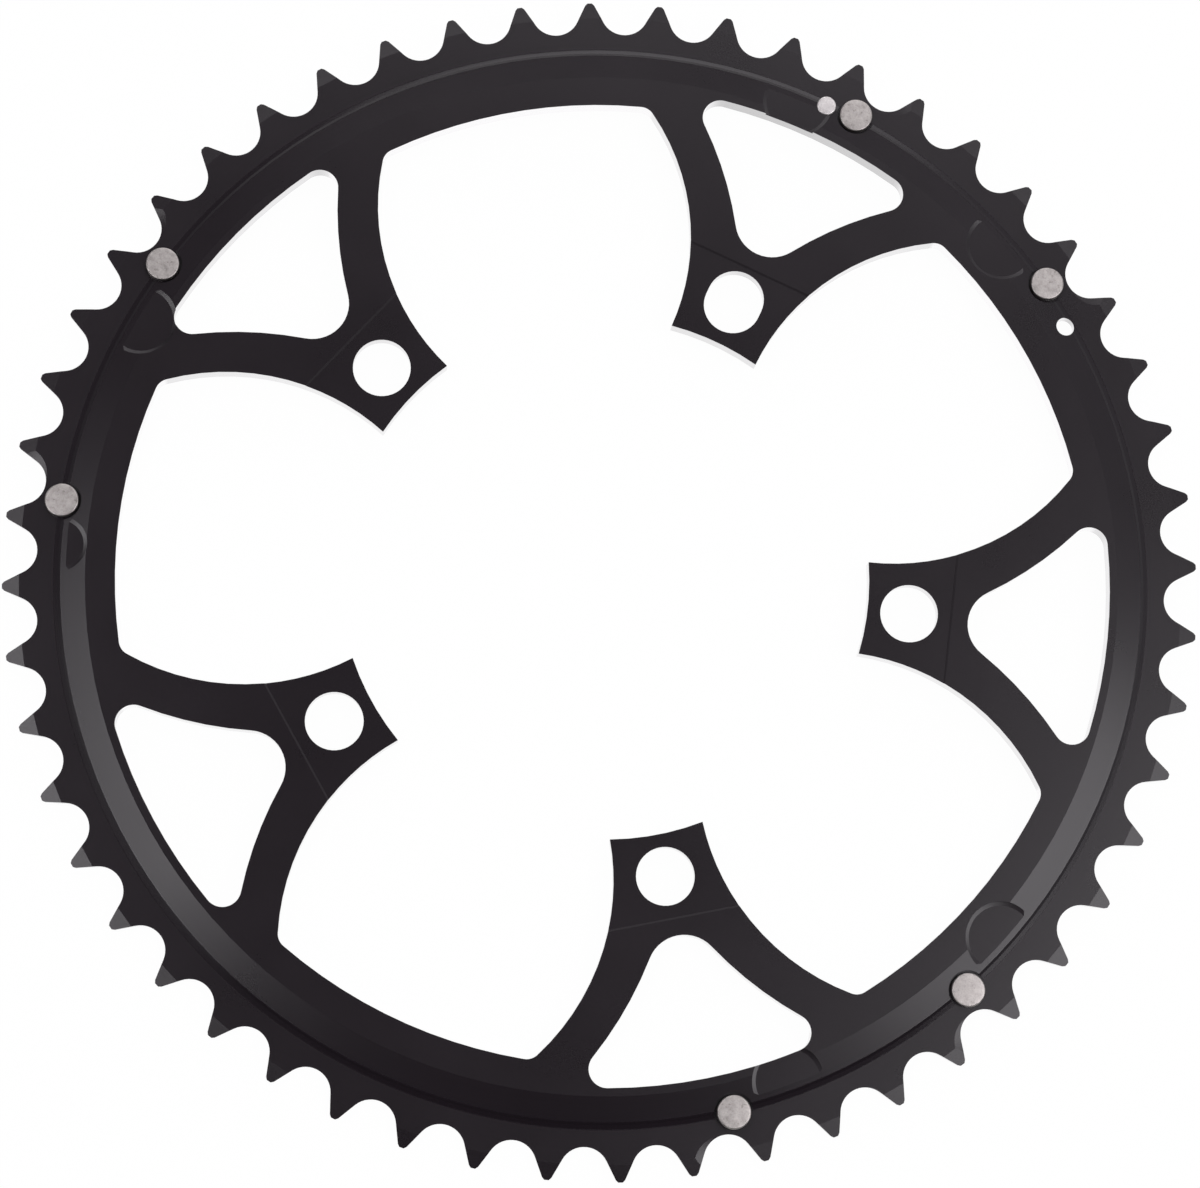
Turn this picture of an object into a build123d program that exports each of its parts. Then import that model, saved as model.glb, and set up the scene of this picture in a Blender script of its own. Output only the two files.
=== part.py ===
"""Bicycle chainring: a toothed outer ring on five Y-shaped arms, with steel shift pins.

The ring's axis is Z. Its flat outer face is at z = 0 and its inner face, which looks
at the bicycle, is up. The arm that lies behind the crank points along +Y.
Millimetres and degrees throughout.
"""

import os
from math import acos, atan2, cos, degrees, hypot, pi, radians, sin, tan

from build123d import *

# Teeth
tooth_count = 52
chain_pitch = 12.7
root_clearance = 3.92       # from the pitch circle in to the bottom of a gullet
tip_height = 2.18           # from the pitch circle out to the top of a tooth
gullet_radius = 4.4
tip_land = 0.8              # width of the flat top of a tooth
tip_chamfer = 0.42
first_gullet = 0.306        # pitches from the crank arm's line to the next gullet
tooth_thickness = 1.9
bevel_length = 3.05         # radial length of the flat bevel on both sides of each tip
inner_bevel_angle = 8.5
outer_bevel_angle = 9.0

# Section of the rim, from the gullets inwards
body_thickness = 3.65
tooth_band_width = 3.05     # from the gullets in to the foot of the step
step_height = 0.63
step_width = 1.2
step_foot_width = 0.7       # part of the step's width that the gentle foot takes
step_foot_angle = 20.0
cone_width = 4.5            # sloping band between the step and the flat inner face
window_rim_width = 1.45     # flat left between the sloping band and a window
lobe_rim_width = 5.3        # flat left between the sloping band and the middle opening

# Arms, tabs and windows, set out from the bolt circle
arm_count = 5
bolt_circle_diameter = 110.0
tab_end_setback = 7.5
tab_neck_setback = 9.0
tab_neck_width = 16.75
arm_side_radius = 41.6
lobe_corner_radius = 2.8
window_side_radius = 66.7
window_side_setback = 22.4
window_side_overlap = 5.04  # how far each side arc reaches past the arm's middle line
window_foot_fillet = 6.6
window_corner_fillet = 3.3

# Seats and bolt holes
bolt_hole_diameter = 10.4
crank_slot_stretch = 1.3    # the crank arm's hole is drawn outwards by this much
seat_depth = 0.25
seat_reach = 7.4            # from the bolt circle out to the slope at the seat's end
seat_slope_width = 0.35
bolt_head_diameter = 14.4
bolt_head_depth = 0.8

# Shift pins and the shapes cut around them
pin_gullets = (-21, -17, -5, -1, 11, 15)    # counted from the crank arm's line
pin_lead = 0.215            # pitches from the gullet to its pin
pin_setback = 3.45          # from the gullets in to the pins' axes
pin_head_diameter = 6.0
pin_head_height = 1.5
pin_shank_diameter = 3.4
spot_face_diameter = 7.0

pocket_lead = 0.917         # pitches from a pin to the pocket beside it
pocket_setback = 1.6        # from the top of the step in to the pockets' centres
pocket_radius = 6.45
pocket_floor_rise = 0.25    # height of the pockets' floor over the top of the step
pocket_foot_angle = 11.0    # slope between a pocket's floor and its wall
pocket_foot_width = 0.7
lens_lead = 0.665           # the last pin has a smaller pocket
lens_advance = 0.3          # from the top of the step out to its centre
lens_radius = 4.95

flank_cut_radius = 5.15
flank_cut_sideways = 1.1
flank_cut_outwards = 0.75
flank_cut_angle = 10.0

# Chain-drop pin and the spare hole
drop_pin_setback = 4.25
drop_pin_diameter = 3.6
drop_pin_head_diameter = 5.4
drop_pin_head_height = 3.65
drop_pin_tail = 1.15        # height of its tail over the tooth band
spare_hole_diameter = 3.4
spare_hole_setback = 4.85
spare_hole_angle = -36.0    # from the crank arm's line

# Sizes that follow from the ones above
tooth_angle = 360 / tooth_count
pitch_radius = chain_pitch / 2 / sin(pi / tooth_count)
root_radius = pitch_radius - root_clearance
outer_radius = pitch_radius + tip_height
bevel_radius = outer_radius - bevel_length
step_foot_radius = root_radius - tooth_band_width
cone_outer_radius = step_foot_radius - step_width
cone_inner_radius = cone_outer_radius - cone_width
cone_edge_height = tooth_thickness + step_height
step_foot_inner_radius = step_foot_radius - step_foot_width
step_foot_height = tooth_thickness + step_foot_width * tan(radians(step_foot_angle))
window_outer_radius = cone_inner_radius - window_rim_width
lobe_radius = cone_inner_radius - lobe_rim_width
bolt_circle_radius = bolt_circle_diameter / 2
tab_end_radius = bolt_circle_radius - tab_end_setback
tab_neck_radius = bolt_circle_radius - tab_neck_setback
arm_side_offset = tab_neck_width / 2 + arm_side_radius
window_side_height = bolt_circle_radius - window_side_setback
window_side_offset = window_side_radius - window_side_overlap
seat_height = body_thickness - seat_depth
seat_end = bolt_circle_radius + seat_reach
pin_circle_radius = root_radius - pin_setback
pocket_circle_radius = cone_outer_radius - pocket_setback
pocket_floor = cone_edge_height + pocket_floor_rise
pocket_foot_height = pocket_foot_width * tan(radians(pocket_foot_angle))
lens_circle_radius = cone_outer_radius + lens_advance
flank_cut_circle_radius = root_radius + gullet_radius + flank_cut_outwards
flank_cut_turn = degrees(atan2(flank_cut_sideways, flank_cut_circle_radius))
flank_cut_depth = flank_cut_radius * tan(radians(flank_cut_angle))
through = 2 * body_thickness


def around(radius, turn):
    """Point at a distance from the ring's axis, turned anticlockwise from the crank arm's line."""
    return (-radius * sin(radians(turn)), radius * cos(radians(turn)))


def gullet_angle(gullet):
    """Angle from the crank arm's line to a gullet, counted from that line in pitches."""
    return (gullet + first_gullet) * tooth_angle


def upright_plane(point):
    """Plane through a pin's axis at a point: its x runs outwards and its y runs up."""
    outward = Vector(*point).normalized()
    return Plane(origin=point, x_dir=outward, z_dir=outward.cross(Vector(0, 0, 1)))


def flank_corners():
    """Distance and angle, from a tooth's middle line, of the corners from its top to the gullet.

    The flank is the straight line from the chamfer's end that touches the gullet's circle.
    """
    land_end = (tip_land / 2, outer_radius)
    shoulder = (tip_land / 2 + tip_chamfer, outer_radius - tip_chamfer)
    gullet_x, gullet_y = around(root_radius + gullet_radius, -tooth_angle / 2)
    across, up = shoulder[0] - gullet_x, shoulder[1] - gullet_y
    slope = atan2(up, across) + acos(gullet_radius / hypot(across, up))
    foot = (gullet_x + gullet_radius * cos(slope), gullet_y + gullet_radius * sin(slope))
    return [(hypot(x, y), degrees(atan2(x, y))) for x, y in (land_end, shoulder, foot)]


pin_angles = [gullet_angle(gullet + pin_lead) for gullet in pin_gullets]
pin_points = [around(pin_circle_radius, angle) for angle in pin_angles]
pocket_points = [
    around(pocket_circle_radius, angle + pocket_lead * tooth_angle) for angle in pin_angles[:-1]
]
lens_point = around(lens_circle_radius, pin_angles[-1] + lens_lead * tooth_angle)
drop_pin_point = around(root_radius - drop_pin_setback, 0)
spare_hole_point = around(root_radius - spare_hole_setback, spare_hole_angle)
flank_cut_points = [
    around(flank_cut_circle_radius, gullet_angle(gullet) - flank_cut_turn) for gullet in pin_gullets
]
bolt_angles = [arm * 360 / arm_count for arm in range(1, arm_count)]
bolt_points = [around(bolt_circle_radius, angle) for angle in bolt_angles]
slot_middle = around(bolt_circle_radius + crank_slot_stretch / 2, 0)

# Half sections of the pins, as (distance from the pin's axis, height) corners
head_radius = pin_head_diameter / 2
head_top = tooth_thickness + pin_head_height
shift_pin_section = [
    (0, 0),
    (pin_shank_diameter / 2, 0),
    (pin_shank_diameter / 2, tooth_thickness),
    (head_radius, tooth_thickness),
    (head_radius, head_top),
    (0, head_top),
]
drop_head_radius = drop_pin_head_diameter / 2
drop_pin_top = tooth_thickness + drop_pin_tail
drop_pin_section = [
    (0, -drop_pin_head_height),
    (drop_head_radius, -drop_pin_head_height),
    (drop_head_radius, 0),
    (drop_pin_diameter / 2, 0),
    (drop_pin_diameter / 2, drop_pin_top),
    (0, drop_pin_top),
]

# Outline of one tooth's top, the gullet after it and the next tooth's flank, then all the way round
tip_angle = gullet_angle(-0.5)
next_tip_angle = gullet_angle(0.5)
falling_side = [around(radius, tip_angle + turn) for radius, turn in flank_corners()]
rising_side = [around(radius, next_tip_angle - turn) for radius, turn in flank_corners()]
land_radius, land_turn = flank_corners()[0]
with BuildLine() as tooth_edge:
    Polyline(around(land_radius, tip_angle - land_turn), *falling_side)
    ThreePointArc(falling_side[-1], around(root_radius, gullet_angle(0)), rising_side[-1])
    Polyline(*reversed(rising_side))
with BuildSketch() as toothed_outline:
    with BuildLine():
        with PolarLocations(0, tooth_count):
            add(tooth_edge.line)
    make_face()

# One arm is what two side circles leave of a plain bar along +Y
with BuildSketch() as arm:
    with Locations((0, tab_end_radius / 2)):
        Rectangle(2 * arm_side_offset, lobe_radius - tab_end_radius / 2, align=(Align.CENTER, Align.MIN))
    with Locations((arm_side_offset, tab_neck_radius), (-arm_side_offset, tab_neck_radius)):
        Circle(arm_side_radius, mode=Mode.SUBTRACT)

# The middle opening is a circle less the five arms, with its corners at the rim rounded
with BuildSketch() as opening:
    Circle(lobe_radius)
    with PolarLocations(0, arm_count):
        add(arm.sketch, mode=Mode.SUBTRACT)
    rim_corners = opening.vertices().filter_by(lambda v: hypot(v.X, v.Y) > tab_end_radius)
    fillet(rim_corners, lobe_corner_radius)

# One window is what two side circles leave of the arm's root
with BuildSketch() as window:
    Circle(window_outer_radius)
    with Locations((0, window_side_height)):
        arm_root_size = (2 * window_side_offset, window_outer_radius)
        Rectangle(*arm_root_size, align=(Align.CENTER, Align.MIN), mode=Mode.INTERSECT)
    with Locations((window_side_offset, window_side_height), (-window_side_offset, window_side_height)):
        Circle(window_side_radius, mode=Mode.SUBTRACT)
    fillet(window.vertices().sort_by(Axis.Y)[0], window_foot_fillet)
    fillet(window.vertices().sort_by(Axis.Y)[-2:], window_corner_fillet)

# Band with the teeth, bevelled on both sides by a polygon with one flat to each tooth
with BuildPart() as tooth_band:
    with BuildSketch():
        add(toothed_outline.sketch)
        Circle(cone_inner_radius, mode=Mode.SUBTRACT)
    extrude(amount=tooth_thickness)
    flats = gullet_angle(0) + 90
    with BuildSketch():
        RegularPolygon(bevel_radius, tooth_count, major_radius=False, rotation=flats)
    extrude(amount=tooth_thickness, taper=outer_bevel_angle - 90, mode=Mode.INTERSECT)
    with BuildSketch(Plane.XY.offset(tooth_thickness)):
        RegularPolygon(bevel_radius, tooth_count, major_radius=False, rotation=flats)
    extrude(amount=-tooth_thickness, taper=inner_bevel_angle - 90, mode=Mode.INTERSECT)

# What is milled off one arm for its seat, with a slope up to the flat face at the outer end
with BuildPart() as seat_cutter:
    with BuildSketch(Plane.YZ):
        with BuildLine():
            Polyline(
                (tab_end_radius / 2, seat_height),
                (seat_end, seat_height),
                (seat_end + seat_slope_width, body_thickness),
                (seat_end + seat_slope_width, through),
                (tab_end_radius / 2, through),
                close=True,
            )
        make_face()
    extrude(amount=seat_end / 2, both=True)

with BuildPart() as chainring:
    # Turned body, bored to the tabs' ends
    with BuildSketch(Plane.XZ):
        with BuildLine():
            Polyline(
                (tab_end_radius, 0),
                (step_foot_radius, 0),
                (step_foot_radius, tooth_thickness),
                (step_foot_inner_radius, step_foot_height),
                (cone_outer_radius, cone_edge_height),
                (cone_inner_radius, body_thickness),
                (tab_end_radius, body_thickness),
                close=True,
            )
        make_face()
    revolve(axis=Axis.Z)

    # Middle opening and windows
    with BuildSketch():
        add(opening.sketch)
        with PolarLocations(0, arm_count):
            add(window.sketch)
    extrude(amount=through, mode=Mode.SUBTRACT)

    # Seats for the crank's tabs
    with PolarLocations(0, arm_count):
        add(seat_cutter.part, mode=Mode.SUBTRACT)

    # Bolt holes, with a round seat for each bolt's head on the outer face
    with BuildSketch():
        with Locations(*bolt_points):
            Circle(bolt_hole_diameter / 2)
        with Locations(slot_middle):
            SlotCenterToCenter(crank_slot_stretch, bolt_hole_diameter, rotation=90)
    extrude(amount=through, mode=Mode.SUBTRACT)
    with BuildSketch():
        with Locations(*bolt_points):
            Circle(bolt_head_diameter / 2)
        with Locations(slot_middle):
            SlotCenterToCenter(crank_slot_stretch, bolt_head_diameter, rotation=90)
    extrude(amount=bolt_head_depth, mode=Mode.SUBTRACT)

    # Teeth
    add(tooth_band.part)

    # Pockets beside the pins: a flat floor with a sloping foot, and the upright wall over it
    with BuildSketch(Plane.XY.offset(pocket_floor)):
        with Locations(*pocket_points):
            Circle(pocket_radius - pocket_foot_width)
        with Locations(lens_point):
            Circle(lens_radius - pocket_foot_width)
    extrude(amount=pocket_foot_height, taper=pocket_foot_angle - 90, mode=Mode.SUBTRACT)
    with BuildSketch(Plane.XY.offset(pocket_floor + pocket_foot_height)):
        with Locations(*pocket_points):
            Circle(pocket_radius)
        with Locations(lens_point):
            Circle(lens_radius)
    extrude(amount=through, mode=Mode.SUBTRACT)

    # Flat that each pin's head sits on
    with BuildSketch(Plane.XY.offset(tooth_thickness)):
        with Locations(*pin_points):
            Circle(spot_face_diameter / 2)
    extrude(amount=through, mode=Mode.SUBTRACT)

    # Holes for all pins and the spare one
    with BuildSketch():
        with Locations(*pin_points):
            Circle(pin_shank_diameter / 2)
        with Locations(drop_pin_point):
            Circle(drop_pin_diameter / 2)
        with Locations(spare_hole_point):
            Circle(spare_hole_diameter / 2)
    extrude(amount=through, mode=Mode.SUBTRACT)

    # Shallow cone cut into the flank that hands the chain to each pin
    hung_from_top = (Align.CENTER, Align.CENTER, Align.MAX)
    with Locations(Plane.XY.offset(tooth_thickness)):
        with Locations(*flank_cut_points):
            Cone(0, flank_cut_radius, flank_cut_depth, align=hung_from_top, mode=Mode.SUBTRACT)
chainring.part.label = "chainring"
os.makedirs("parts", exist_ok=True)
export_step(chainring.part, "parts/chainring.step")

for number, point in enumerate(pin_points, start=1):
    with BuildPart() as shift_pin:
        with BuildSketch(upright_plane(point)):
            with BuildLine():
                Polyline(*shift_pin_section, close=True)
            make_face()
        revolve(axis=Axis(origin=point, direction=(0, 0, 1)))
    shift_pin.part.label = f"shift_pin_{number}"
    export_step(shift_pin.part, f"parts/shift_pin_{number}.step")

with BuildPart() as chain_drop_pin:
    with BuildSketch(upright_plane(drop_pin_point)):
        with BuildLine():
            Polyline(*drop_pin_section, close=True)
        make_face()
    revolve(axis=Axis(origin=drop_pin_point, direction=(0, 0, 1)))
chain_drop_pin.part.label = "chain_drop_pin"
export_step(chain_drop_pin.part, "parts/chain_drop_pin.step")
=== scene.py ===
# %% [markdown]
# # A bicycle chainring on a white table
#
# The ring was turned, milled and drilled in the CAD source, and the packed model is loaded here
# as a fixed frame in metres. This lesson gives it what CAD leaves out: the black anodised skin,
# the seven small steel pins with their tumbled edges, the table, the lamps and the camera.

# %% Load the packed ring
from math import atan2, degrees, radians

import bpy
import numpy as np
from mathutils import Matrix, Vector


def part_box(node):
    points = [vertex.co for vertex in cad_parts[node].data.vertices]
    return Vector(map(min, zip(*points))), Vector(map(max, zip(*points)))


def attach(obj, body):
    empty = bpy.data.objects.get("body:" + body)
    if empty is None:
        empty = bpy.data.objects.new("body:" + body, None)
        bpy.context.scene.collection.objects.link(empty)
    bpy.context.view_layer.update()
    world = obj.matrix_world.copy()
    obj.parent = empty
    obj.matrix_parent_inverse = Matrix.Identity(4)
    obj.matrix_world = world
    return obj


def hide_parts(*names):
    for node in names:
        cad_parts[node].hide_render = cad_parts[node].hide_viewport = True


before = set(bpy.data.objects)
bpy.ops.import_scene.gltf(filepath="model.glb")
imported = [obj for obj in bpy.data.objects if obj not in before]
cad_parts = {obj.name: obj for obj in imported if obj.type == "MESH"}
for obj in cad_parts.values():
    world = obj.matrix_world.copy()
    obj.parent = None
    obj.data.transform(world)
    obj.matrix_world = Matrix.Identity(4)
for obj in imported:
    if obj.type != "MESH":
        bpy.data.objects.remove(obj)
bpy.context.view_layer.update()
MM = 0.001
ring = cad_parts["chainring"]
print("nodes:", sorted(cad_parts))

# %% [markdown]
# ## The camera
#
# The photograph looks almost straight down on the ring's inner face. A camera could be placed by
# eye, but 52 even teeth allow better: the tooth roots, the bolt holes and the rim were matched to
# a pinhole camera, and that gave the tilt, the distance and the focal length below. The ring's
# own frame has the crank arm's tab along +Y, and the photograph shows it turned from there.

# %% Place the camera where the photograph was taken
ring_turn = radians(24.877)
camera_tip = radians(-9.614)
camera_lean = radians(3.129)
ring_from_camera = Vector((0.864, 3.211, -633.30)) * MM
tooth_face_height = 1.9 * MM
photo_to_ring = Matrix.Rotation(ring_turn, 4, "Z")

lens = bpy.data.cameras.new("camera")
lens.sensor_width = 36.0
lens.lens = 105.92
camera = bpy.data.objects.new("camera", lens)
bpy.context.scene.collection.objects.link(camera)
tilt = Matrix.Rotation(camera_tip, 4, "X") @ Matrix.Rotation(camera_lean, 4, "Y")
seen_from_camera = Matrix.Translation(ring_from_camera) @ tilt
face_in_ring = photo_to_ring @ Matrix.Translation((0, 0, tooth_face_height))
camera.matrix_world = face_in_ring @ seen_from_camera.inverted()
bpy.context.scene.camera = camera
print("camera at mm:", [round(v / MM, 1) for v in camera.matrix_world.translation])

# %% [markdown]
# ## Shader sums
#
# A finish could be wired up node by node, but a sum is easier to read than a web. This class
# wraps a socket, and each +, - or * on it adds a Math node. Every other node comes from its one
# method, which takes the kind of node, its sockets and its settings.

# %% A socket that can stand in a sum
class Wire:
    """A shader socket: sums of wires and numbers add Math nodes to the same tree."""

    def __init__(self, socket):
        self.socket = socket

    @classmethod
    def node(cls, tree, kind, sockets, output=0, **settings):
        """Adds a node: its settings first, then the values or links of its sockets."""
        made = tree.nodes.new("ShaderNode" + kind)
        for name, value in settings.items():
            setattr(made, name, value)
        for name, value in sockets.items():
            if isinstance(value, cls):
                tree.links.new(value.socket, made.inputs[name])
            else:
                made.inputs[name].default_value = value
        return cls(made.outputs[output]) if made.outputs else None

    def math(self, operation, first, second=0.0):
        return Wire.node(self.socket.id_data, "Math", {0: first, 1: second}, operation=operation)

    def __add__(self, other):
        return self.math("ADD", self, other)

    def __radd__(self, other):
        return self.math("ADD", other, self)

    def __sub__(self, other):
        return self.math("SUBTRACT", self, other)

    def __rsub__(self, other):
        return self.math("SUBTRACT", other, self)

    def __mul__(self, other):
        return self.math("MULTIPLY", self, other)

    def __rmul__(self, other):
        return self.math("MULTIPLY", other, self)

    def between(self, low, high):
        """0 below low and 1 above high, with a soft ramp between."""
        sockets = {"Value": self, "From Min": low, "From Max": high}
        return Wire.node(
            self.socket.id_data, "MapRange", sockets, interpolation_type="SMOOTHSTEP"
        )


print("wire methods:", [name for name in vars(Wire) if not name.startswith("__")])


# %% Three helpers for every finish
def new_finish(name):
    """A material with an empty node tree."""
    material = bpy.data.materials.new(name)
    material.use_nodes = True
    material.node_tree.nodes.clear()
    return material


def noise(tree, place, size, detail=2.0, roughness=0.5):
    """Cloudy values about 0, from -0.5 to 0.5, with clouds of a size in metres."""
    sockets = {"Vector": place, "Scale": 1 / size, "Detail": detail, "Roughness": roughness}
    return Wire.node(tree, "TexNoise", sockets) - 0.5


def blend(tree, factor, first, second):
    """Colour between two colours, by a factor from 0 to 1."""
    sockets = {"Factor": factor, "A": (*first, 1), "B": (*second, 1)}
    return Wire.node(tree, "Mix", sockets, output=2, data_type="RGBA")


print("helpers:", [helper.__name__ for helper in (new_finish, noise, blend)])

# %% [markdown]
# ## Where the ring's skin changes
#
# The tooth band, the step and the cone were turned on a lathe, and the rest of the ring was
# milled. Each zone could be a material of its own, but the CAD ring is one mesh that stays as it
# is. So the shader finds its zones itself: from the distance to the axis, and from how level a
# face is, which is 1 for the flat faces and 0 for an upright wall.

# %% Find the zones by distance and by slope
crank_seat_end = (69.0 * MM, 71.0 * MM)
opening_arc_start, opening_arc_end = (86.0 * MM, 86.6 * MM), (88.5 * MM, 89.5 * MM)
cone_start = (92.3 * MM, 92.7 * MM)
step_start, step_end = (96.8 * MM, 97.0 * MM), (98.2 * MM, 98.4 * MM)
wall_levels, seat_edge_levels = (0.15, 0.45), (0.90, 0.97)


def ring_zones(tree, place):
    """Distance from the axis, and masks that ramp softly from 0 to 1 between two values."""
    flat_place = Wire.node(
        tree, "VectorMath", {0: place, 1: (1, 1, 0)}, operation="MULTIPLY"
    )
    radius = Wire.node(tree, "VectorMath", {0: flat_place}, output=1, operation="LENGTH")
    facing = Wire.node(tree, "TexCoord", {}, output=1)
    upward = Wire.node(tree, "SeparateXYZ", {"Vector": facing}, output=2)
    level = upward.math("ABSOLUTE", upward)
    near_seat = 1 - radius.between(*crank_seat_end)
    return {
        "radius": radius,
        "seat_edge": near_seat * (1 - level.between(*seat_edge_levels)),
        "opening": radius.between(*opening_arc_start) * (1 - radius.between(*opening_arc_end)),
        "turned": radius.between(*cone_start),
        "step": radius.between(*step_start) * (1 - radius.between(*step_end)),
        "wall": 1 - level.between(*wall_levels),
    }


print("turned from", round(cone_start[0] / MM, 1), "mm outwards")

# %% [markdown]
# ## Black anodised aluminium
#
# The ring is aluminium whose skin was grown into a hard, dyed oxide. The faces were blasted to
# a fine matt first, and the turned zones show faint rings from the lathe. The step is a little
# glossier than the rest, and the low edges of the seats for the crank are duller. The walls of
# the holes and windows are as the cutter left them, smooth and glossy. One could paint all this
# a flat dark grey, but then the soft boxes would lie on it as on plastic. So the colour drifts a
# little, the blasting is a fine bump, and the lathe's rings follow the distance from the axis.
# An upright wall that is seen edge-on turns into a mirror of the white table, as a hard glossy
# oxide does at a grazing look, and the arcs round the middle opening do so soonest.

# %% The ring's skin
dark_dye, pale_dye = (0.0055, 0.0030, 0.0050), (0.0100, 0.0060, 0.0093)
wall_mirror, opening_mirror = (0.80, 0.79, 0.80), (0.97, 0.96, 0.97)
blasted_roughness, cut_roughness = 0.285, 0.10
drift_size, grain_size, lathe_ring_size = 22 * MM, 0.35 * MM, 0.45 * MM


def anodised_skin():
    """Dyed oxide: blasted grain, lathe rings where it was turned, walls that mirror edge-on."""
    material = new_finish("black_anodised")
    tree = material.node_tree
    place = Wire.node(tree, "TexCoord", {}, output=3)
    zone = ring_zones(tree, place)
    turned, wall, opening = zone["turned"], zone["wall"], zone["opening"]

    drift = noise(tree, place, drift_size, detail=3.0)
    grain = noise(tree, place, grain_size, roughness=0.6)
    ring_sockets = {"W": zone["radius"], "Scale": 1 / lathe_ring_size, "Detail": 2.0}
    rings = Wire.node(tree, "TexNoise", ring_sockets, noise_dimensions="1D") - 0.5

    shade = drift * 0.9 + grain * 0.3 + rings * turned * 0.35 + 0.5
    colour = blend(tree, shade, dark_dye, pale_dye)
    blasted = blasted_roughness + drift * 0.06 + grain * 0.02
    blasted = blasted + zone["seat_edge"] * 0.33 - zone["step"] * 0.06
    gloss = blasted * (1 - wall) + wall * cut_roughness
    height = grain * (1 - turned * 0.5) * 0.9 + rings * turned * 0.5
    bump = Wire.node(tree, "Bump", {"Strength": 0.05, "Distance": 0.05 * MM, "Height": height})
    skin = Wire.node(
        tree,
        "BsdfPrincipled",
        {"Base Color": colour, "Roughness": gloss, "IOR": 1.42, "Normal": bump},
    )

    sheen = blend(tree, opening, wall_mirror, opening_mirror)
    polish = Wire.node(
        tree,
        "BsdfPrincipled",
        {"Base Color": sheen, "Roughness": cut_roughness, "Metallic": 1.0},
    )
    edge_on = Wire.node(tree, "LayerWeight", {"Blend": 0.5}, output=1)
    mirror = wall * (edge_on + opening * 0.15).between(0.50, 0.80)
    surface = Wire.node(tree, "MixShader", {0: mirror, 1: skin, 2: polish})
    Wire.node(tree, "OutputMaterial", {"Surface": surface})
    return material


ring.data.materials.clear()
ring.data.materials.append(anodised_skin())
print("ring faces:", len(ring.data.polygons), "finish:", ring.data.materials[0].name)

# %% [markdown]
# ## Turned steel pins
#
# Six shift pins stand in the tooth band to lift the chain, and one longer pin behind the crank
# arm keeps a dropped chain out. They come off an automatic lathe and are tumbled, so their edges
# are round and their faces satin. The CAD pins have sharp edges. A Bevel modifier could round
# them, but it would round every edge alike. So each pin is made again as a lathe surface: a
# profile of radius against height, carried round the pin's axis.

# %% A lathe surface from a profile
def corner_arc(radius, height, rounding, start, steps=10):
    """A quarter circle of a given rounding about a centre, from a start angle, clockwise."""
    turn = np.radians(np.linspace(start, start - 90, steps))
    return np.stack([radius + rounding * np.cos(turn), height + rounding * np.sin(turn)], 1)


def lathe(name, axis, profile, columns=96):
    """Carries a profile round an upright axis: x = r cos a, y = r sin a, z = height.

    The profile runs from the axis at the top, outwards and down, to the axis at the bottom,
    so both of its ends close in a fan of triangles.
    """
    turn = np.linspace(0, 2 * np.pi, columns, endpoint=False)
    radius, height = profile[1:-1, :1], profile[1:-1, 1:]
    sheet = np.stack(
        [
            axis[0] + radius * np.cos(turn),
            axis[1] + radius * np.sin(turn),
            height + 0 * turn,
        ],
        axis=-1,
    )
    poles = np.array([[*axis, profile[0, 1]], [*axis, profile[-1, 1]]])
    points = np.concatenate([sheet.reshape(-1, 3), poles])

    here = np.arange(sheet.shape[0] * columns).reshape(-1, columns)
    beside = np.roll(here, -1, axis=1)
    sides = np.stack([here[:-1], here[1:], beside[1:], beside[:-1]], axis=-1).reshape(-1, 4)
    top = np.stack([here[0] * 0 + len(points) - 2, here[0], beside[0]], axis=-1)
    foot = np.stack([here[-1] * 0 + len(points) - 1, beside[-1], here[-1]], axis=-1)

    mesh = bpy.data.meshes.new(name)
    mesh.from_pydata(points.tolist(), [], sides.tolist() + top.tolist() + foot.tolist())
    mesh.polygons.foreach_set("use_smooth", np.ones(len(mesh.polygons), bool))
    mesh.update()
    return bpy.data.objects.new(name, mesh)


print("points of a rounded corner:", len(corner_arc(0, 0, MM, 90)))

# %% [markdown]
# ## Satin steel
#
# Tumbling leaves steel with a soft grey gloss and small dents. An even grey would do from afar,
# but the faces in the photograph are mottled. So there is a cloudy bump a millimetre wide with
# finer grain on it, and the colour is a warm grey that darkens in spots. The chain-drop pin is
# brighter than the shift pins, so the finish takes its two shades.

# %% The pins' finish
cloud_size, steel_grain_size, spot_size = 1.1 * MM, 0.22 * MM, 0.6 * MM


def tumbled_steel(name, dark, light):
    """Metal between two shades, with a cloudy satin gloss, fine grain and a few darker spots."""
    material = new_finish(name)
    tree = material.node_tree
    place = Wire.node(tree, "TexCoord", {}, output=3)
    clouds = noise(tree, place, cloud_size, detail=3.0, roughness=0.6)
    grain = noise(tree, place, steel_grain_size)
    spots = noise(tree, place, spot_size, detail=1.0).between(0.12, 0.24)

    shade = clouds * 1.5 + grain * 0.9 + 0.62 - spots * 0.45
    colour = blend(tree, shade, dark, light)
    gloss = 0.44 + clouds * 0.22 + grain * 0.12
    height = clouds + grain * 0.35
    bump = Wire.node(tree, "Bump", {"Strength": 0.3, "Distance": 0.06 * MM, "Height": height})
    steel = Wire.node(
        tree,
        "BsdfPrincipled",
        {"Base Color": colour, "Roughness": gloss, "Metallic": 1.0, "Normal": bump},
    )
    Wire.node(tree, "OutputMaterial", {"Surface": steel})
    return material


steel_finish = tumbled_steel("tumbled_steel", (0.25, 0.231, 0.22), (0.485, 0.456, 0.44))
bright_finish = tumbled_steel("bright_steel", (0.39, 0.37, 0.365), (0.68, 0.65, 0.645))
print("pin finishes:", steel_finish.name, bright_finish.name)

# %% [markdown]
# ## The shift pins
#
# Each pin has a low round head on the ring's inner side and a shank that goes through the tooth
# band and ends flush with the outer face. The head could be flat, but a crown of a few hundredths
# of a millimetre is what makes its gloss roll off towards the rim.

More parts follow.
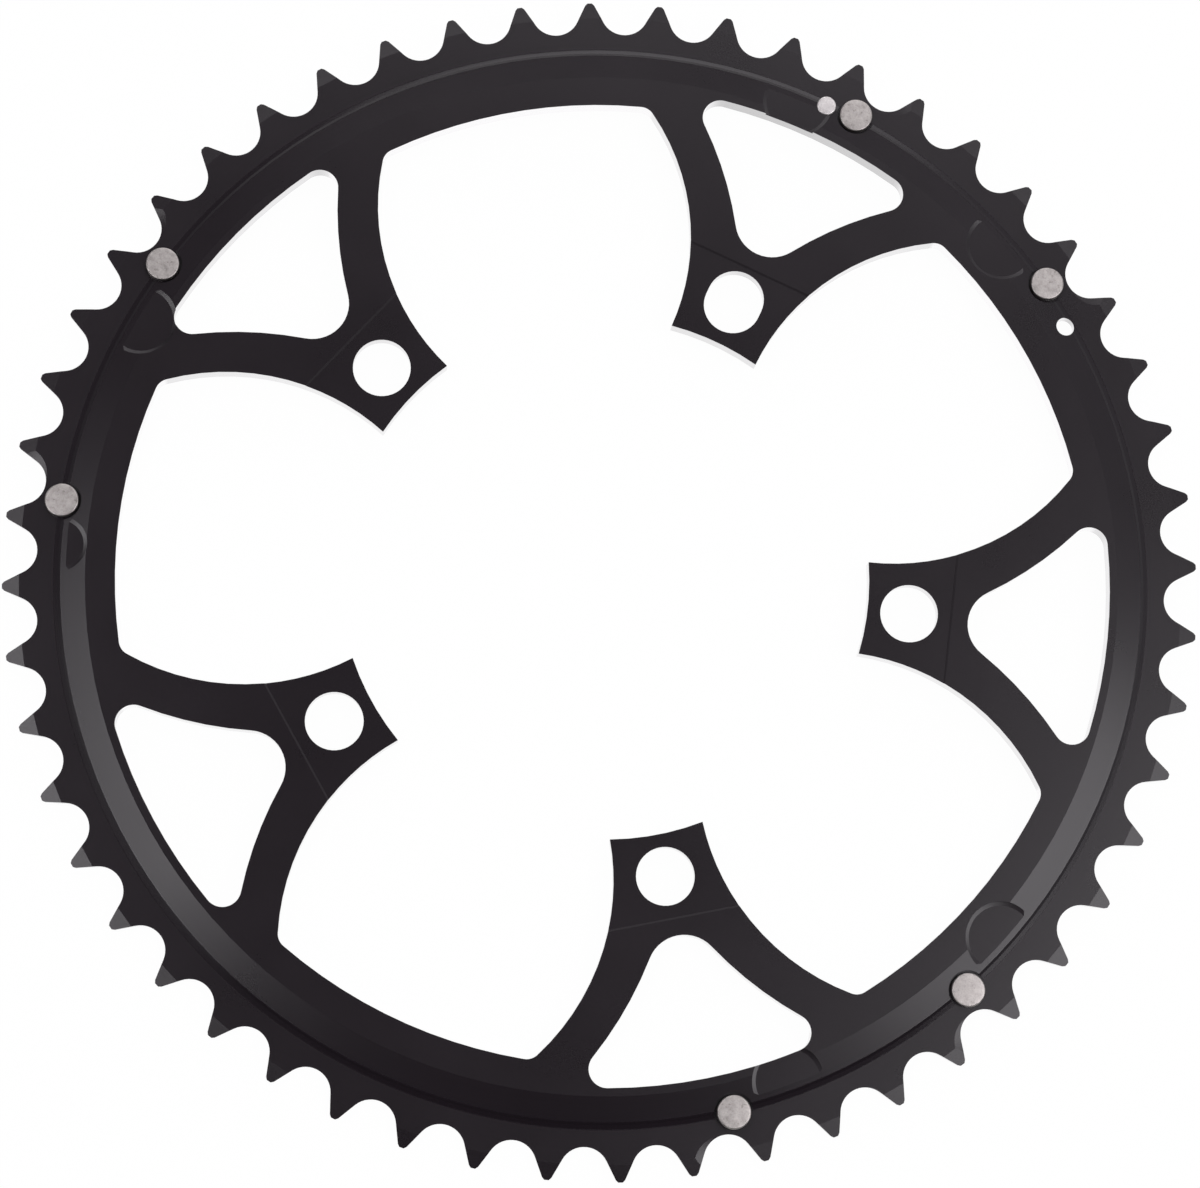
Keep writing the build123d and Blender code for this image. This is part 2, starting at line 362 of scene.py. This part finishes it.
# %% Make the six shift pins
head_rounding = 0.28 * MM
head_crown = 0.05 * MM
shift_shank = 1.7 * MM
tail_break = 0.12 * MM


def middle_and_radius(low, high):
    """Axis and radius of an upright round pin, from the corners of its box."""
    return ((low.x + high.x) / 2, (low.y + high.y) / 2), (high.x - low.x) / 2


def shift_pin_profile(head_radius, top):
    """Crowned head, rounded rim, straight skirt, shoulder on the spot-face, flush shank.

    The crown falls with the square of the distance from the axis.
    """
    outwards = np.linspace(0, 1, 8)[:, None]
    crown = np.hstack(
        [outwards * (head_radius - head_rounding), top - head_crown * outwards**2]
    )
    rim = corner_arc(
        head_radius - head_rounding, top - head_crown - head_rounding, head_rounding, 90
    )
    shoulder_and_shank = [
        [head_radius, tooth_face_height],
        [shift_shank, tooth_face_height],
        [shift_shank, tail_break],
        [shift_shank - tail_break, 0],
        [0, 0],
    ]
    return np.concatenate([crown, rim[1:], shoulder_and_shank])


shift_pins = []
for number in range(1, 7):
    node = f"shift_pin_{number}"
    low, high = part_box(node)
    middle, head_radius = middle_and_radius(low, high)
    pin = lathe(f"turned_{node}", middle, shift_pin_profile(head_radius, high.z))
    bpy.context.scene.collection.objects.link(pin)
    pin.data.materials.append(steel_finish)
    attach(pin, "root")
    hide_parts(node)
    shift_pins.append(pin)
print("shift pins:", len(shift_pins), "faces each:", len(shift_pins[0].data.polygons))

# %% [markdown]
# ## The chain-drop pin
#
# Behind the crank arm a longer pin sticks out of the outer face, so that a chain thrown off
# cannot wedge there. Its head is on the far side, and the photograph shows only its tail. It is
# made as the shift pins are, with a profile of its own.

# %% Make the chain-drop pin
drop_shank = 1.8 * MM
drop_rounding = 0.3 * MM


def drop_pin_profile(head_radius, foot, top):
    """Rounded tail, shank through the tooth band, long head with a rounded foot."""
    tail = corner_arc(drop_shank - drop_rounding, top - drop_rounding, drop_rounding, 90)
    end = corner_arc(head_radius - drop_rounding, foot + drop_rounding, drop_rounding, 0)
    return np.concatenate(
        [[[0, top]], tail, [[drop_shank, 0], [head_radius, 0]], end, [[0, foot]]]
    )


drop_low, drop_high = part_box("chain_drop_pin")
middle, head_radius = middle_and_radius(drop_low, drop_high)
profile = drop_pin_profile(head_radius, drop_low.z, drop_high.z)
drop_pin = lathe("turned_chain_drop_pin", middle, profile)
bpy.context.scene.collection.objects.link(drop_pin)
drop_pin.data.materials.append(bright_finish)
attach(drop_pin, "root")
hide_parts("chain_drop_pin")
print("drop pin from", round(drop_low.z / MM, 2), "to", round(drop_high.z / MM, 2), "mm")

# %% [markdown]
# ## The white table
#
# Put down on a table, the ring lies on the head of its drop pin and on the teeth opposite. A
# table that is level in the ring's own frame would cut through that head or leave the teeth in
# the air, so it leans by about a degree. The lean is found from the mesh: of all lines from the
# inner edge of the pin's foot, the table takes the steepest that still has the whole ring above
# it.

# %% Lay the table under the ring
table_reach = 3.0
corners = np.empty(len(ring.data.vertices) * 3)
ring.data.vertices.foreach_get("co", corners)
corners = corners.reshape(-1, 3)
opposite = corners[corners[:, 1] < 0]
foot_y, foot_z = drop_low.y + drop_rounding, drop_low.z
table_lean = atan2(((opposite[:, 2] - foot_z) / (opposite[:, 1] - foot_y)).max(), 1)

table_mesh = bpy.data.meshes.new("table")
spread = np.array([[-1, -1, 0], [1, -1, 0], [1, 1, 0], [-1, 1, 0]]) * table_reach
table_mesh.from_pydata(spread.tolist(), [], [(0, 1, 2, 3)])
table = bpy.data.objects.new("table", table_mesh)
bpy.context.scene.collection.objects.link(table)
table.location = (0, foot_y, foot_z)
table.rotation_euler = (table_lean, 0, 0)
print("table leans", round(degrees(table_lean), 2), "degrees")

# %% [markdown]
# ## The table's white
#
# The photograph's ground is pure white. Stronger lamps could bleach the table, but they would
# bleach the ring too. So the table shows white to the camera by itself, and a small share of it
# is a plain white board that keeps the ring's shadow. In reflections it is a white sheet under
# the ring and behind it, and grey beyond, because the ring's step is dark on its left side.

# %% The table's finish
sheet_rim = (115 * MM, 150 * MM)
sheet_fan, fan_blur = 0.80, 20 * MM
white, beyond_sheet, board_colour = (1, 1, 1), (0.2, 0.2, 0.2), (0.93, 0.93, 0.93)
glow_share = 0.98


def in_ring(direction):
    """A direction of the photograph's frame, turned into the ring's own frame."""
    return photo_to_ring.to_3x3() @ Vector(direction)


def white_board():
    """White to the camera, a white sheet on grey in reflections, some board for the shadow.

    The sheet is a disc about the axis, and a fan behind it: there the distance backwards is
    more than a share of the distance from the axis.
    """
    material = new_finish("white_board")
    tree = material.node_tree
    ray = tree.nodes.new("ShaderNodeLightPath").outputs
    camera_ray = Wire(ray["Is Camera Ray"])
    seen = camera_ray + Wire(ray["Is Glossy Ray"]) + Wire(ray["Is Transmission Ray"])

    place = Wire.node(tree, "NewGeometry", {})
    away = Wire.node(tree, "VectorMath", {0: place}, output=1, operation="LENGTH")
    backward = Wire.node(
        tree, "VectorMath", {0: place, 1: in_ring((0, 1, 0))}, output=1, operation="DOT_PRODUCT"
    )
    disc = 1 - away.between(*sheet_rim)
    fan = (backward - away * sheet_fan).between(0.0, fan_blur)
    sheet = disc.math("MAXIMUM", disc, fan)
    paper = blend(tree, sheet.math("MAXIMUM", sheet, camera_ray), beyond_sheet, white)

    board = Wire.node(tree, "BsdfDiffuse", {"Color": (*board_colour, 1)})
    glow = Wire.node(tree, "Emission", {"Color": paper, "Strength": 1.0})
    surface = Wire.node(tree, "MixShader", {0: seen * glow_share, 1: board, 2: glow})
    Wire.node(tree, "OutputMaterial", {"Surface": surface})
    return material


table_mesh.materials.append(white_board())
print("table finish:", table_mesh.materials[0].name)

# %% [markdown]
# ## Soft boxes
#
# Lamps can be hung by trial, but the light in the photograph can also be read off the ring. The
# cone leans outwards by fourteen degrees and the tooth bevels by eight and a half, and they shine
# on the left and on the lower right only. So there is a soft box on each side, about thirty
# degrees off the axis, and the space overhead is dark. A weaker third box behind the ring lights
# its upper teeth, and a low strip further back draws the light line along the step. A weak panel
# low on the left lifts the same step there out of the dark. The highlights in the photograph have
# a trace of purple, and so have the lamps.

# %% Hang the lamps
lamp_colour = (0.99, 0.968, 1.0)


def soft_box(name, direction, width, height, power, distance=1.0):
    """A rectangular lamp in a direction of the photograph's frame, its width held level."""
    lamp = bpy.data.lights.new(name, "AREA")
    lamp.shape = "RECTANGLE"
    lamp.size, lamp.size_y = width, height
    lamp.energy = power
    lamp.color = lamp_colour
    holder = bpy.data.objects.new(name, lamp)
    bpy.context.scene.collection.objects.link(holder)
    towards = in_ring(direction).normalized()
    holder.location = towards * distance
    across = Vector((0, 0, 1)).cross(towards).normalized()
    facing = Matrix((across, towards.cross(across), towards)).transposed()
    holder.rotation_euler = facing.to_euler()
    return holder


lamps = [
    soft_box("left_box", (-0.55, -0.045, 1.0), width=0.49, height=0.22, power=2.5),
    soft_box("right_box", (0.585, -0.19, 1.0), width=0.48, height=0.57, power=4.2),
    soft_box("back_box", (0.14, 0.61, 1.0), width=0.95, height=0.20, power=2.4, distance=1.2),
    soft_box("back_strip", (0.105, 1.0, 0.375), width=0.92, height=0.38, power=2.95),
    soft_box("left_panel", (-0.94, -0.34, 0.466), width=0.80, height=0.72, power=0.75),
]
print("lamps:", [(lamp.name, round(lamp.data.energy, 2)) for lamp in lamps])

# %% [markdown]
# ## The room
#
# A dim room fills the shadows. One even grey would be simpler, but the cone and the step mirror
# the room's walls. So it is darkest overhead and on the camera's side, and paler towards its
# other walls, most of all the one on the right. The camera sees white all round. Reflections see
# a white backdrop that curves up behind the ring, and the dim room above it and to its sides.

# %% The room round the table
room_colour = (0.96, 0.97, 1.0)
overhead_light, side_light, right_light = 0.12, 0.27, 0.40
backdrop_start, backdrop_climb, backdrop_blur = 0.8, 0.9, 0.05

room = bpy.data.worlds.new("room")
room.use_nodes = True
room_tree = room.node_tree
room_tree.nodes.clear()
look = Wire.node(room_tree, "TexCoord", {})
height = Wire.node(room_tree, "SeparateXYZ", {"Vector": look}, output=2)


def along(direction):
    """How far a ray looks in a direction of the photograph's frame, from -1 to 1."""
    sockets = {0: look, 1: in_ring(direction)}
    return Wire.node(room_tree, "VectorMath", sockets, output=1, operation="DOT_PRODUCT")


backward = along((0, 1, 0))
rightward = along((0.97, 0.26, 0))
paleness = overhead_light + (1 - height) * backward.between(-0.7, 0.2) * side_light
paleness = paleness + rightward.between(0.35, 0.85) * right_light
backdrop_top = (backward - backdrop_start) * backdrop_climb
backdrop = 1 - (height - backdrop_top).between(0.0, backdrop_blur)

ray = room_tree.nodes.new("ShaderNodeLightPath").outputs
mirrored = Wire(ray["Is Glossy Ray"]) + Wire(ray["Is Transmission Ray"])
seen = Wire(ray["Is Camera Ray"]) + mirrored * backdrop
dim = Wire.node(room_tree, "Background", {"Color": (*room_colour, 1), "Strength": paleness})
bright = Wire.node(room_tree, "Background", {"Color": (*white, 1), "Strength": 1.0})
surface = Wire.node(room_tree, "MixShader", {0: seen, 1: dim, 2: bright})
Wire.node(room_tree, "OutputWorld", {"Surface": surface})
bpy.context.scene.world = room
bpy.context.scene.view_settings.view_transform = "Standard"
print("room nodes:", len(room_tree.nodes))

# %% [markdown]
# ## Sizes
#
# The dressed ring stays as large as the CAD ring, for the pins take their sizes from the boxes of
# the CAD pins.
